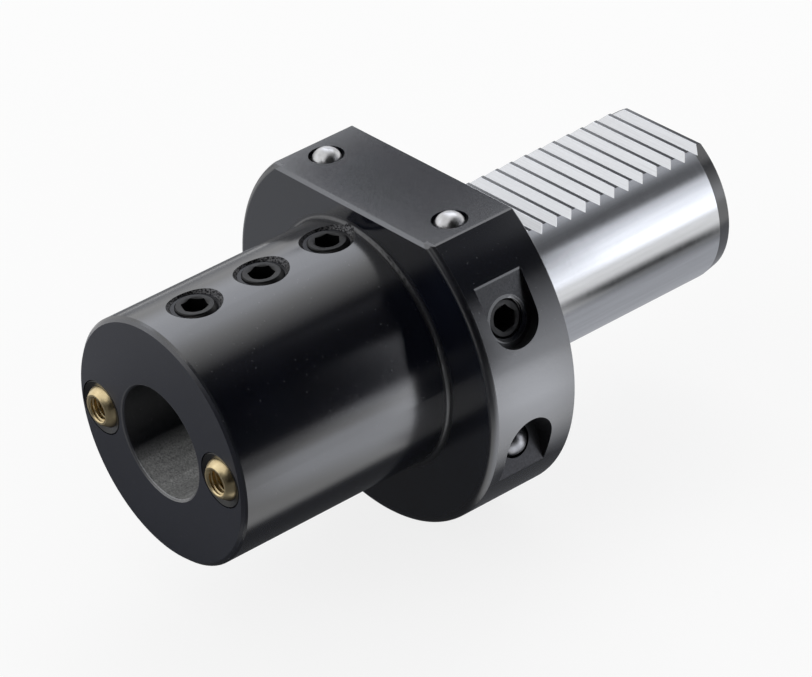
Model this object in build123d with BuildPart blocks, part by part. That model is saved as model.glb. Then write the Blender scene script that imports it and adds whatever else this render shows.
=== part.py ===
from build123d import *
from math import acos, cos, radians, sin, sqrt, tan
import os

# Boring bar holder with a toothed round shank, for a tool turret. Millimetres.
# Y runs along the holder: the front face, where the bar goes in, is at -Y and the shank at +Y.
# The flange's flat and the shank's teeth face +Z. The origin is on the shank's axis,
# in the contact face of the flange.

# Shank
shank_d = 40.0
shank_length = 63.0
shank_lead_length = 3.2
shank_lead_step = 0.6
shank_relief_width = 2.5
shank_relief_depth = 0.4
rack_pitch = 4.0
rack_crest_height = 15.6
rack_tooth_depth = 1.3
rack_land = 1.0
rack_steep_run = 1.45
rack_start = 6.8

# Flange
flange_d = 83.0
flange_width = 22.0
flange_front_round = 1.5
flange_rear_chamfer = 0.3
flat_height = 32.5
flat_front_chamfer = 0.7
flat_side_chamfer = 0.3

# Head and bore
head_d = 55.0
projection = 75.0
head_front_chamfer = 1.0
head_root_fillet = 0.7
bore_d = 25.0
bore_depth = 82.0
bore_mouth_chamfer = 0.5

# Clamp screws, metric 10 with a flat point
clamp_d = 10.0
clamp_length = 14.0
clamp_flats = 5.0
clamp_socket_depth = 5.0
clamp_tip_d = 7.0
clamp_crown_d = 7.8
clamp_count = 3
clamp_first = 12.7
clamp_root_distance = 6.3
clamp_recess = 0.5
clamp_countersink_d = 12.2
clamp_countersink_depth = 1.0
clamp_turns = (12.0, 20.0, 52.0)

# Screw that closes the back of the bore and stops the bar, metric 16
stop_d = 16.0
stop_length = 20.0
stop_flats = 8.0
stop_socket_depth = 8.0
stop_tip_d = 12.0
stop_crown_d = 13.5
stop_recess = 16.0
stop_hole_chamfer = 1.0
screw_clearance = 0.05

# Swivelling coolant nozzles in the front face
nozzle_offset = 20.0
nozzle_ball_d = 10.0
nozzle_ball_depth = 2.5
nozzle_ball_proud = 1.25
nozzle_thread_d = 5.0
nozzle_thread_depth = 6.0
nozzle_mouth_chamfer = 0.5
nozzle_outlet_d = 3.0
nozzle_ring_d = 12.2
nozzle_ring_rear_gap = 0.1
nozzle_ring_dish = 0.45
nozzle_ring_rim = 0.3
nozzle_seal_section = 2.0
nozzle_seal_clearance = 0.15
nozzle_countersink_d = 7.0
nozzle_clearance = 0.05
press_clearance = 0.02

# Coolant drillings in the flange
gallery_d = 5.0
feed_d = 4.5
gallery_depth = 11.8
gallery_overrun = 2.0
inlet_d = 6.0
inlet_height = -25.0

# Steel balls that close the drillings
ball_d = 7.0
ball_mouth_d = 7.7
ball_mouth_depth = 1.8
ball_seat_length = 3.6
flat_ball_sink = 1.9
side_ball_sink = 1.4

# Pockets milled into the flange's rim. Each floor faces out at an angle above the X axis.
pocket_width = 12.0
plug_floor_angle = 15.0
plug_floor_depth = 2.7
plug_floor_shift = 5.7
side_ball_floor_angle = 13.0
side_ball_floor_depth = 11.1
side_ball_floor_shift = -21.5

# Plug screw in the upper pocket, metric 10
plug_d = 10.0
plug_length = 8.0
plug_flats = 5.0
plug_socket_depth = 4.5
plug_tip_d = 7.0
plug_crown_d = 7.5
plug_recess = 1.0
plug_turn = 10.0
plug_hole_spare = 2.0

# Sealing ring round the shank, in the contact face
seal_section = 2.6
seal_groove_inner_d = 44.0
seal_groove_width = 3.2
seal_groove_depth = 2.2
seal_clearance = 0.05

# Worked out from the sizes above
head_r = head_d / 2
flange_r = flange_d / 2
shank_r = shank_d / 2
relief_r = shank_r - shank_relief_depth
bore_end = bore_depth - projection
front = Plane.XZ.offset(projection)
clamp_run = projection - flange_width - clamp_first - clamp_root_distance
clamp_spacing = clamp_run / (clamp_count - 1)
clamp_places = [clamp_first + i * clamp_spacing - projection for i in range(clamp_count)]
clamp_top = head_r - clamp_recess
nozzle_sides = {"left": -nozzle_offset, "right": nozzle_offset}
ball_r = nozzle_ball_d / 2
ball_centre = nozzle_ball_depth - projection
ring_r = nozzle_ring_d / 2
pocket_r = ring_r + press_clearance
seal_r = nozzle_seal_section / 2
seal_centre_r = pocket_r - seal_r - nozzle_clearance
seal_setback = sqrt((ball_r + seal_r + nozzle_seal_clearance) ** 2 - seal_centre_r ** 2)
nozzle_pocket_depth = nozzle_ball_depth + seal_setback + seal_r + press_clearance
shank_seal_r = seal_groove_inner_d / 2 + seal_clearance + seal_section / 2


def floor_plane(angle, depth, shift):
    """Plane of a pocket's floor, this deep below the rim and centred on its drilling.

    Local X runs along the holder, and the shift is along the floor, upwards.
    """
    outward = Vector(cos(radians(angle)), 0, sin(radians(angle)))
    along = Vector(-sin(radians(angle)), 0, cos(radians(angle)))
    middle = outward * (flange_r - depth) + along * shift - Vector(0, gallery_depth, 0)
    return Plane(origin=middle, x_dir=(0, 1, 0), z_dir=outward)


plug_floor = floor_plane(plug_floor_angle, plug_floor_depth, plug_floor_shift)
side_floor = floor_plane(side_ball_floor_angle, side_ball_floor_depth, side_ball_floor_shift)


def depth_below(floor, angle, x):
    """Length of a drilling from a pocket's floor to the plane at this X."""
    return (floor.origin.X - x) / cos(radians(angle))


plug_drill_depth = depth_below(plug_floor, plug_floor_angle, nozzle_offset)
cross_drill_depth = depth_below(side_floor, side_ball_floor_angle, -nozzle_offset) + gallery_overrun
cross_fall = (side_floor.origin.X + nozzle_offset) * tan(radians(side_ball_floor_angle))
low_ends = {nozzle_offset: inlet_height, -nozzle_offset: side_floor.origin.Z - cross_fall}


def set_screw(plane, diameter, length, flats, socket_depth, tip, crown, turn=0.0):
    """Headless screw whose socket opens on the plane and whose flat point lies below it."""
    with BuildPart() as screw:
        with BuildSketch(plane):
            Circle(diameter / 2)
        extrude(amount=-length)
        ends = screw.edges().filter_by(GeomType.CIRCLE).sort_by(Axis(plane.origin, plane.z_dir))
        chamfer(ends[-1], (diameter - crown) / 2)
        chamfer(ends[0], (diameter - tip) / 2)
        with BuildSketch(plane):
            RegularPolygon(flats / 2, 6, major_radius=False, rotation=turn)
        extrude(amount=-socket_depth, mode=Mode.SUBTRACT)
        with BuildSketch(plane.offset(-socket_depth)):
            Circle(flats / 2)
        extrude(amount=-flats / 4, taper=60, mode=Mode.SUBTRACT)
    return screw


def mill_flat():
    """Mills the flat on the flange and breaks its edges."""
    inner = sqrt(flange_r**2 - flat_height**2) - flat_side_chamfer
    low = flat_height - (flange_r - inner) * tan(acos(flat_height / flange_r) / 2)
    top = [(-flange_r, flange_r), (flange_r, flange_r)]
    under = [(flange_r, low), (inner, flat_height), (-inner, flat_height), (-flange_r, low)]
    with BuildSketch(Plane.XZ) as above:
        Polygon(*top, *under, align=None)
    extrude(above.sketch, amount=flange_width, mode=Mode.SUBTRACT)
    for y, size in ((-flange_width, flat_front_chamfer), (0, flange_rear_chamfer)):
        with BuildSketch(Plane.YZ) as edge:
            with Locations((y, flat_height)):
                RegularPolygon(size, 4)
        extrude(edge.sketch, amount=flange_r, both=True, mode=Mode.SUBTRACT)


def rack_teeth():
    """Cuts the rack across the top of the shank: a flat that ends in the relief, then the grooves."""
    gentle_run = rack_pitch - rack_land - rack_steep_run
    grooves = int((shank_length - rack_start) / rack_pitch) + 1
    with BuildSketch(Plane.YZ) as rack:
        with Locations((shank_relief_width / 2, rack_crest_height)):
            Rectangle(shank_length, shank_r, align=(Align.MIN, Align.MIN))
        with Locations([(rack_start + i * rack_pitch, rack_crest_height) for i in range(grooves)]):
            groove = [(0, 0), (gentle_run, -rack_tooth_depth), (gentle_run + rack_steep_run, 0)]
            Polygon(*groove, align=None)
    extrude(rack.sketch, amount=shank_d, both=True, mode=Mode.SUBTRACT)


def drill(plane, diameter, depth):
    """Straight drilling from a plane, against its normal."""
    with BuildSketch(plane) as mouth:
        Circle(diameter / 2)
    extrude(mouth.sketch, amount=-depth, mode=Mode.SUBTRACT)


def clamp_hole(place):
    """Hole from the head's top into the bore, with a 45 degree countersink that clears the root."""
    drill(Plane(origin=(0, place, head_r), z_dir=(0, 0, 1)), clamp_d + 2 * screw_clearance, head_r)
    hole_r = clamp_d / 2
    rim_r = clamp_countersink_d / 2
    rim_height = rim_r - hole_r - clamp_countersink_depth
    cone = [(0, -clamp_countersink_depth), (hole_r, -clamp_countersink_depth), (rim_r, rim_height)]
    with BuildSketch(Plane.YZ) as mouth:
        with Locations((place, head_r)):
            Polygon(*cone, (rim_r, head_root_fillet), (0, head_root_fillet), align=None)
    revolve(mouth.sketch, axis=Axis((0, place, 0), (0, 0, 1)), mode=Mode.SUBTRACT)


def rim_pocket(floor, up):
    """Mills a pocket with one round end through the flange's rim, open upwards or downwards."""
    run = flange_r if up else -flange_r
    with BuildSketch(floor) as slot:
        Circle(pocket_width / 2)
        with Locations((0, run / 2)):
            Rectangle(pocket_width, abs(run))
    extrude(slot.sketch, amount=flange_r, mode=Mode.SUBTRACT)


def ball_hole(plane, sink, diameter, depth):
    """Mouth, ball seat and drilling below it, for a ball sunk this far below the plane."""
    drill(plane, ball_mouth_d, ball_mouth_depth)
    drill(plane, ball_d + 2 * press_clearance, sink + ball_seat_length)
    drill(plane, diameter, depth)


def flat_plane(x):
    """Plane on the flange's flat, over the drilling at this X."""
    return Plane(origin=(x, -gallery_depth, flat_height), z_dir=(0, 0, 1))


with BuildPart() as holder_body:
    with BuildSketch(Plane.XZ):
        Circle(flange_r)
    extrude(amount=flange_width)
    fillet(holder_body.faces().sort_by(Axis.Y)[0].edges(), flange_front_round)
    chamfer(holder_body.faces().sort_by(Axis.Y)[-1].edges(), flange_rear_chamfer)
    mill_flat()

    with BuildSketch(Plane.XY):
        with BuildLine():
            Polyline(
                (0, -projection),
                (head_r - head_front_chamfer, -projection),
                (head_r, head_front_chamfer - projection),
                (head_r, -flange_width / 2),
                (relief_r, -flange_width / 2),
                (relief_r, shank_relief_width - shank_relief_depth),
                (shank_r, shank_relief_width),
                (shank_r, shank_length - shank_lead_length),
                (shank_r - shank_lead_step, shank_length),
                (0, shank_length),
                close=True,
            )
        make_face()
    revolve(axis=Axis.Y)
    head_root = holder_body.edges().filter_by(GeomType.CIRCLE).filter_by_position(
        Axis.Y, -flange_width - 0.01, -flange_width + 0.01
    )
    fillet(head_root.filter_by(lambda edge: abs(edge.radius - head_r) < 0.01), head_root_fillet)

    rack_teeth()

    # Bore from the front, tapped hole on its axis from the shank's end
    drill(front, bore_d, bore_depth)
    mouth = holder_body.faces().sort_by(Axis.Y)[0].edges().filter_by(GeomType.CIRCLE)
    chamfer(mouth.sort_by(SortBy.RADIUS)[0], bore_mouth_chamfer)
    drill(Plane.XZ.offset(-shank_length).reverse(), stop_d + 2 * screw_clearance, shank_length - bore_end)
    tail = holder_body.faces().sort_by(Axis.Y)[-1].edges().filter_by(GeomType.CIRCLE)
    chamfer(tail.sort_by(SortBy.RADIUS)[0], stop_hole_chamfer)

    for place in clamp_places:
        clamp_hole(place)

    # Nozzle pockets, and the drillings that feed them
    for x in nozzle_sides.values():
        face = Plane(origin=(x, -projection, 0), z_dir=(0, -1, 0))
        drill(face, nozzle_ring_d + 2 * press_clearance, nozzle_pocket_depth)
        drill(face, feed_d, projection - gallery_depth + gallery_overrun)
        with BuildSketch(face.offset(-nozzle_pocket_depth)):
            Circle(nozzle_countersink_d / 2)
        extrude(amount=feed_d / 2 - nozzle_countersink_d / 2, taper=45, mode=Mode.SUBTRACT)

    # Drillings down from the flat, closed by balls
    for x, low_end in low_ends.items():
        ball_hole(flat_plane(x), flat_ball_sink, gallery_d, flat_height - low_end + gallery_overrun)

    # Rim pockets, with the plug's tapped hole and the cross drilling under the bore
    rim_pocket(plug_floor, up=True)
    drill(plug_floor, plug_d + 2 * screw_clearance, plug_recess + plug_length + plug_hole_spare)
    drill(plug_floor, feed_d, plug_drill_depth)
    rim_pocket(side_floor, up=False)
    ball_hole(side_floor, side_ball_sink, feed_d, cross_drill_depth)

    # Coolant inlet and sealing groove in the contact face
    inlet_plane = Plane(origin=(nozzle_offset, 0, inlet_height), z_dir=(0, 1, 0))
    drill(inlet_plane, inlet_d, gallery_depth)
    with BuildSketch(Plane.XZ):
        Circle(seal_groove_inner_d / 2 + seal_groove_width)
        Circle(seal_groove_inner_d / 2, mode=Mode.SUBTRACT)
    extrude(amount=seal_groove_depth, mode=Mode.SUBTRACT)

pieces = {"holder_body": holder_body}

# Clamp screws, front to rear
for row, place, turn in zip(("front", "middle", "rear"), clamp_places, clamp_turns):
    crown_plane = Plane(origin=(0, place, clamp_top), z_dir=(0, 0, 1))
    pieces[f"clamp_screw_{row}"] = set_screw(
        crown_plane, clamp_d, clamp_length, clamp_flats, clamp_socket_depth, clamp_tip_d, clamp_crown_d, turn
    )

stop_plane = Plane(origin=(0, shank_length - stop_recess, 0), z_dir=(0, 1, 0))
pieces["stop_screw"] = set_screw(
    stop_plane, stop_d, stop_length, stop_flats, stop_socket_depth, stop_tip_d, stop_crown_d
)

pieces["side_plug_screw"] = set_screw(
    plug_floor.offset(-plug_recess),
    plug_d,
    plug_length,
    plug_flats,
    plug_socket_depth,
    plug_tip_d,
    plug_crown_d,
    plug_turn,
)

# Nozzles: a ball with a tapped hole, the ring that holds it in and the seal behind it
for side, x in nozzle_sides.items():
    centre = Vector(x, ball_centre, 0)
    axis = Plane(origin=centre, z_dir=(0, -1, 0))
    nose = axis.offset(nozzle_ball_depth + nozzle_ball_proud)

    with BuildPart() as nozzle_ball:
        with Locations(centre):
            Sphere(ball_r)
        split(bisect_by=nose, keep=Keep.BOTTOM)
        with BuildSketch(nose):
            Circle(nozzle_thread_d / 2)
        extrude(amount=-nozzle_thread_depth, mode=Mode.SUBTRACT)
        with BuildSketch(nose):
            Circle(nozzle_outlet_d / 2)
        extrude(amount=-nozzle_ball_d, mode=Mode.SUBTRACT)
        nose_rim = nozzle_ball.faces().sort_by(Axis.Y)[0].edges().sort_by(SortBy.RADIUS)[0]
        chamfer(nose_rim, nozzle_mouth_chamfer)
    pieces[f"nozzle_ball_{side}"] = nozzle_ball

    with BuildPart() as nozzle_ring:
        with BuildSketch(Plane(origin=centre, x_dir=(1, 0, 0), z_dir=(0, 0, 1))):
            with BuildLine():
                Polyline(
                    (0, nozzle_ring_dish - nozzle_ball_depth),
                    (ball_r - nozzle_ring_rim, nozzle_ring_dish - nozzle_ball_depth),
                    (ring_r - nozzle_ring_rim, -nozzle_ball_depth),
                    (ring_r, nozzle_ring_rim - nozzle_ball_depth),
                    (ring_r, -nozzle_ring_rear_gap),
                    (0, -nozzle_ring_rear_gap),
                    close=True,
                )
            make_face()
        revolve(axis=Axis(centre, (0, 1, 0)))
        with Locations(centre):
            Sphere(ball_r + nozzle_clearance, mode=Mode.SUBTRACT)
    pieces[f"nozzle_ring_{side}"] = nozzle_ring

    with BuildPart() as nozzle_seal:
        with BuildSketch(Plane(origin=centre, x_dir=(1, 0, 0), z_dir=(0, 0, 1))):
            with Locations((seal_centre_r, seal_setback)):
                Circle(seal_r)
        revolve(axis=Axis(centre, (0, 1, 0)))
    pieces[f"nozzle_seal_{side}"] = nozzle_seal

    with BuildPart() as flat_ball:
        with Locations(Vector(x, -gallery_depth, flat_height - flat_ball_sink)):
            Sphere(ball_d / 2)
    pieces[f"flat_sealing_ball_{side}"] = flat_ball

with BuildPart() as side_ball:
    with Locations(side_floor.offset(-side_ball_sink).origin):
        Sphere(ball_d / 2)
pieces["side_sealing_ball"] = side_ball

with BuildPart() as shank_seal:
    with BuildSketch(Plane.XY):
        with Locations((shank_seal_r, seal_section / 2 - seal_groove_depth)):
            Circle(seal_section / 2)
    revolve(axis=Axis.Y)
pieces["shank_seal_ring"] = shank_seal

os.makedirs("parts", exist_ok=True)
for name, piece in pieces.items():
    piece.part.label = name
    export_step(piece.part, f"parts/{name}.step")
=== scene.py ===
"""Finishes, threads and studio for a boring bar holder with a toothed round shank."""

import bpy
from math import cos, pi, radians, sin
from mathutils import Matrix, Quaternion, Vector


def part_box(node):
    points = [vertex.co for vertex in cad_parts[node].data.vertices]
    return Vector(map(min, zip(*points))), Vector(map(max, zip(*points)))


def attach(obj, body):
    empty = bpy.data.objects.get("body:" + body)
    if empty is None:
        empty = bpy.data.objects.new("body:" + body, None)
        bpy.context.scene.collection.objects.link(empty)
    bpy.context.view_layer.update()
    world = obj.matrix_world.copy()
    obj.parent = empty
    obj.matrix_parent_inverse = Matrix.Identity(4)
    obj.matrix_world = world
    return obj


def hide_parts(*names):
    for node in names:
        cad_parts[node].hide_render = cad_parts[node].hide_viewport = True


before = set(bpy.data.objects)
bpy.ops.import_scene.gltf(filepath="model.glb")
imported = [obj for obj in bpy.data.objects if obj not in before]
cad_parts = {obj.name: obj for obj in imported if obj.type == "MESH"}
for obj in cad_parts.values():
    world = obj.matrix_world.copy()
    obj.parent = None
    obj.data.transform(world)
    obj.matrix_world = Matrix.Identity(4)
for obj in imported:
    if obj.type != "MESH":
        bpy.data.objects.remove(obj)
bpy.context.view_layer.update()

bl_info = {
    "name": "Boring Bar Holder",
    "version": (1, 0, 0),
    "blender": (4, 5, 0),
    "location": "View3D > Sidebar > Holder",
    "description": "Finishes, screw threads and a studio for a boring bar holder",
    "category": "Object",
}

UP = Vector((0, 0, 1))


def middle(node):
    """Middle of a node's box."""
    low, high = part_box(node)
    return (low + high) / 2


# Places read from the frame
body_low, body_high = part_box("holder_body")
screw_low, screw_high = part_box("clamp_screw_front")
stop_low, stop_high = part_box("stop_screw")
FRONT_Y = body_low.y
SHANK_END_Y = body_high.y
FLANGE_R = -body_low.z
CLAMP_CROWN_Z = screw_high.z
CLAMP_R = (screw_high.x - screw_low.x) / 2
CLAMP_ROWS = ("front", "middle", "rear")

# Limits of the body's areas that have a finish of their own, in metres
SHANK_Y = (0.0002, SHANK_END_Y - 0.00002)
SHANK_R = (0.0083, 0.0204)
LEAD_START_Y = SHANK_END_Y - 0.0032
LEAD_SLOPE = 0.1875
LEAD_R = 0.01986
RACK_PITCH = 0.004
RACK_START_Y = 0.0068
LAND_START = 0.0032
LAND_Z = 0.01552
TOOTH_R = 0.01985
BORE_R = 0.0127
BORE_END_Y = 0.008
# The bore's lower wall where a pool of light is painted, standing for lamp light that falls in through the
# mouth
SEAT_Z = (-0.006, -0.0105)
SEAT_Y = (FRONT_Y + 0.001, FRONT_Y + 0.016)
MOUTH_END_Y = FRONT_Y + 0.00055
MOUTH_R = (0.01278, 0.01303)
FACE_END_Y = FRONT_Y + 0.0006
POCKET_X = 0.028
POCKET_Y = (-0.0205, -0.0009)
POCKET_R = 0.04132
POCKET_TILT = radians(13)
POCKET_LEDGE = (0.0303, 0.03045)
ROOT_Y = (-0.02315, -0.02195)
ROOT_R = 0.0287
RIM_ROUND_Y = (-0.02199, -0.0205)
RIM_ROUND_R = 0.04003
SINK_Z = 0.0265
SINK_R = 0.0063
SINK_LOW_Z = SINK_Z - 0.0002
SINK_CONE = CLAMP_R + 0.00006 - SINK_Z

# Colours of small marks on the body and the brass, and of highlight and shade painted on the body
WORN_SPECK = (0.16, 0.16, 0.17)
FACE_TINT = (0.0035, 0.0055, 0.016)
# Painted highlight: a light line on the bore's mouth chamfer
MOUTH_PAINTED_HIGHLIGHT = (0.06, 0.061, 0.066)
# Painted shade: the pocket floors are darker than the oxide around them, the lower pocket darkest
LOWER_POCKET_SHADE = (0.045, 0.045, 0.048)
UPPER_POCKET_SHADE = (0.085, 0.086, 0.09)
POCKET_GRAIN = (0.02, 0.02, 0.02)
# Painted shade in the clamp holes' countersinks, with lighter random grain
SINK_SHADE = (0.012, 0.012, 0.013)
SINK_LIGHT = (0.13, 0.13, 0.135)
TARNISH = (0.5, 0.36, 0.17)

# Thread form: its depth as a share of the pitch, and the profile's points. Each point has its place
# before and after shaping, as shares of the pitch, and its height as a share of the depth
THREAD_DEPTH = 0.58
THREAD_PROFILE = ((0.2, 0.125, 0), (0.4, 0.43, 1), (0.6, 0.57, 1), (0.8, 0.875, 0))

# Small gaps and overlaps between threads, sleeves and holes, in metres
CREST_GAP = 0.00002
TAP_CREST_GAP = 0.00003
SLEEVE_OVERLAP = 0.00007
CROWN_LAYER = 0.00004

# Flat share of the radius at each screw's crown and tip, and the depth of its socket
CLAMP_ENDS, CLAMP_SOCKET = (0.78, 0.7), 0.005
STOP_ENDS, STOP_SOCKET = (0.84, 0.75), 0.008
PLUG_ENDS, PLUG_SOCKET = (0.75, 0.7), 0.0045

# Where the hole threads end: above the bore, under the clamp screws' crowns, in the tail hole, and
# past the plug screw's tip and crown. A tap runs on past both ends of its sleeve
CLAMP_THREAD_FLOOR_Z = 0.01262
CLAMP_THREAD_DROP = 0.0005
TAIL_THREAD_FLOOR_Y = 0.0075
TAIL_CHAMFER = 0.0013
PLUG_THREAD_BELOW, PLUG_THREAD_ABOVE = 0.0018, 0.00085
PLUG_TAP_BELOW, PLUG_TAP_ABOVE = 0.003, 0.002
TAP_OVERRUN = 0.001

# The plug screw's axis leans up from X. The nozzle balls' middles lie at NOZZLE_Y
PLUG_TILT = radians(15)
NOZZLE_Y = -0.0725
NOZZLE_MOUTH_R = 0.0025
NOZZLE_THREAD_DEPTH = 0.00045
NOZZLE_TAP_LENGTH = 0.006
NOZZLE_EDGE_ROUND = 0.00012


class HolderSizes(bpy.types.PropertyGroup):
    """Sizes of the threads, sockets and edges that are added to the frame's pieces."""

    clamp_pitch: bpy.props.FloatProperty(
        name="Clamp Pitch", description="Thread pitch of the clamp screws", default=0.0015, unit="LENGTH"
    )
    stop_pitch: bpy.props.FloatProperty(
        name="Stop Pitch", description="Thread pitch of the stop screw", default=0.002, unit="LENGTH"
    )
    plug_pitch: bpy.props.FloatProperty(
        name="Plug Pitch", description="Thread pitch of the plug screw", default=0.0015, unit="LENGTH"
    )
    nozzle_pitch: bpy.props.FloatProperty(
        name="Nozzle Pitch", description="Thread pitch in the nozzle balls", default=0.001, unit="LENGTH"
    )
    thread_play: bpy.props.FloatProperty(
        name="Thread Play",
        description="Gap between a screw's thread and its nut",
        default=0.00006,
        unit="LENGTH",
    )
    clamp_flats: bpy.props.FloatProperty(
        name="Clamp Flats", description="Hexagon key size of the clamp screws", default=0.005, unit="LENGTH"
    )
    stop_flats: bpy.props.FloatProperty(
        name="Stop Flats", description="Hexagon key size of the stop screw", default=0.008, unit="LENGTH"
    )
    plug_flats: bpy.props.FloatProperty(
        name="Plug Flats", description="Hexagon key size of the plug screw", default=0.005, unit="LENGTH"
    )
    clamp_turns: bpy.props.FloatVectorProperty(
        name="Clamp Turns",
        description="Turn of each clamp screw's socket, front to rear",
        default=(radians(12), radians(20), radians(52)),
        subtype="EULER",
        unit="ROTATION",
    )
    plug_turn: bpy.props.FloatProperty(
        name="Plug Turn", description="Turn of the plug screw's socket", default=radians(10), unit="ROTATION"
    )
    nozzle_outlet_radius: bpy.props.FloatProperty(
        name="Nozzle Outlet",
        description="Radius of the coolant way in a nozzle ball",
        default=0.0015,
        unit="LENGTH",
    )
    nozzle_mouth_chamfer: bpy.props.FloatProperty(
        name="Mouth Chamfer", description="Chamfer at a nozzle's mouth", default=0.0005, unit="LENGTH"
    )


class HolderColours(bpy.types.PropertyGroup):
    """Colours of the finishes."""

    oxide: bpy.props.FloatVectorProperty(
        name="Black Oxide", description="Blackened steel", subtype="COLOR", default=(0.003, 0.0037, 0.0072)
    )
    ground_steel: bpy.props.FloatVectorProperty(
        name="Ground Steel", description="Ground shank", subtype="COLOR", default=(0.66, 0.668, 0.685)
    )
    cut_steel: bpy.props.FloatVectorProperty(
        name="Cut Steel", description="Milled tooth flanks", subtype="COLOR", default=(0.8, 0.81, 0.83)
    )
    # Colour of the pool of light painted on the bar seat in the bore
    bore_painted_light: bpy.props.FloatVectorProperty(
        name="Bore Painted Light", description="Pool of light painted on the bar seat", subtype="COLOR", default=(0.85, 0.86, 0.85)
    )
    screw_oxide: bpy.props.FloatVectorProperty(
        name="Screw Oxide", description="Blackened screws", subtype="COLOR", default=(0.0026, 0.0026, 0.0029)
    )
    screw_crown: bpy.props.FloatVectorProperty(
        name="Screw Crown",
        description="Rubbed end faces of the screws",
        subtype="COLOR",
        default=(0.006, 0.006, 0.0066),
    )
    brass: bpy.props.FloatVectorProperty(
        name="Brass", description="Nozzle balls", subtype="COLOR", default=(0.79, 0.65, 0.39)
    )
    ball_steel: bpy.props.FloatVectorProperty(
        name="Ball Steel",
        description="Sealing balls in the flat",
        subtype="COLOR",
        default=(0.66, 0.66, 0.67),
    )
    # Painted shade: the same steel ball as in the flat, painted darker where it sits in the rim pocket
    shaded_ball_steel: bpy.props.FloatVectorProperty(
        name="Shaded Ball Steel",
        description="Sealing ball in the rim pocket",
        subtype="COLOR",
        default=(0.3, 0.3, 0.31),
    )
    rubber: bpy.props.FloatVectorProperty(
        name="Rubber", description="Sealing rings", subtype="COLOR", default=(0.012, 0.012, 0.012)
    )
    floor: bpy.props.FloatVectorProperty(
        name="Floor", description="Pale studio floor", subtype="COLOR", default=(0.86, 0.86, 0.86)
    )


# Selecting and finishing meshes


def clear_selection():
    """Leaves edit mode and deselects everything."""
    if bpy.context.object and bpy.context.object.mode != "OBJECT":
        bpy.ops.object.mode_set(mode="OBJECT")
    bpy.ops.object.select_all(action="DESELECT")


def pick(piece):
    """Makes this the only selected object."""
    clear_selection()
    bpy.context.view_layer.objects.active = piece
    piece.select_set(True)


def new_piece(name):
    """Names the primitive that was just added."""
    piece = bpy.context.object
    piece.name = name
    piece.data.name = name
    return piece


def choose_faces(piece, test):
    """Goes to edit mode with the faces selected whose centre and normal pass the test."""
    pick(piece)
    bpy.ops.object.mode_set(mode="EDIT")
    bpy.ops.mesh.select_mode(type="FACE")
    bpy.ops.mesh.select_all(action="DESELECT")
    bpy.ops.object.mode_set(mode="OBJECT")
    for face in piece.data.polygons:
        face.select = test(face.center, face.normal)
    bpy.ops.object.mode_set(mode="EDIT")


def choose_edges(piece, test):
    """Goes to edit mode with the edges selected whose two ends pass the test."""
    pick(piece)
    bpy.ops.object.mode_set(mode="EDIT")
    bpy.ops.mesh.select_mode(type="EDGE")
    bpy.ops.mesh.select_all(action="DESELECT")
    bpy.ops.object.mode_set(mode="OBJECT")
    points = piece.data.vertices
    for edge in piece.data.edges:
        edge.select = all(test(points[i].co) for i in edge.vertices)
    bpy.ops.object.mode_set(mode="EDIT")


def choose_points(piece, test):
    """Goes to edit mode with the vertices selected that pass the test."""
    pick(piece)
    bpy.ops.object.mode_set(mode="EDIT")
    bpy.ops.mesh.select_mode(type="VERT")
    bpy.ops.mesh.select_all(action="DESELECT")
    bpy.ops.object.mode_set(mode="OBJECT")
    for point in piece.data.vertices:
        point.select = test(point.co)
    bpy.ops.object.mode_set(mode="EDIT")


def leave_edit():
    """Goes back to object mode."""
    bpy.ops.object.mode_set(mode="OBJECT")


def apply_modifier(piece, kind, name, **settings):
    """Adds one modifier and applies it."""
    pick(piece)
    modifier = piece.modifiers.new(name, kind)
    for key, value in settings.items():
        setattr(modifier, key, value)
    bpy.ops.object.modifier_apply(modifier=modifier.name)


def combine(piece, tool, operation):
    """Joins, cuts or trims a piece with a closed tool, which is used up."""
    apply_modifier(piece, "BOOLEAN", operation.title(), operation=operation, object=tool, solver="EXACT")
    bpy.data.objects.remove(tool)


def copy_of(piece, name):
    """Copy of a piece with its own mesh."""
    pick(piece)
    bpy.ops.object.duplicate()
    return new_piece(name)


def send_to(piece, axis, point):
    """Turns a piece built along Z onto an axis through a point, and applies the place to its mesh."""
    pick(piece)
    swing = UP.rotation_difference(Vector(axis)).to_matrix().to_4x4()
    piece.matrix_world = Matrix.Translation(point) @ swing
    bpy.ops.object.transform_apply(location=True, rotation=True, scale=True)


def smooth(piece):
    """Shades a piece smooth except at its sharp edges."""
    pick(piece)
    bpy.ops.object.shade_smooth_by_angle(angle=radians(32))


# Shapes that more than one piece needs


def rod(name, radius, low, high, sides=64):
    """Plain closed rod along Z, as a blank or a cutter."""
    clear_selection()
    bpy.ops.mesh.primitive_cylinder_add(
        vertices=sides, radius=radius, depth=high - low, location=(0, 0, (high + low) / 2)
    )
    piece = new_piece(name)
    bpy.ops.object.transform_apply(location=True)
    return piece


def screw_blank(name, radius, length, crown_radius, tip_radius):
    """Headless screw before threading, with its crown at Z 0 and its flat point below."""
    piece = rod(name, radius, -length, 0)
    for height, end_radius in ((0, crown_radius), (-length, tip_radius)):
        choose_edges(piece, lambda co: abs(co.z - height) < 1e-6)
        bpy.ops.mesh.bevel(offset=radius - end_radius, offset_type="OFFSET", segments=1)
        leave_edit()
    return piece


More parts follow.
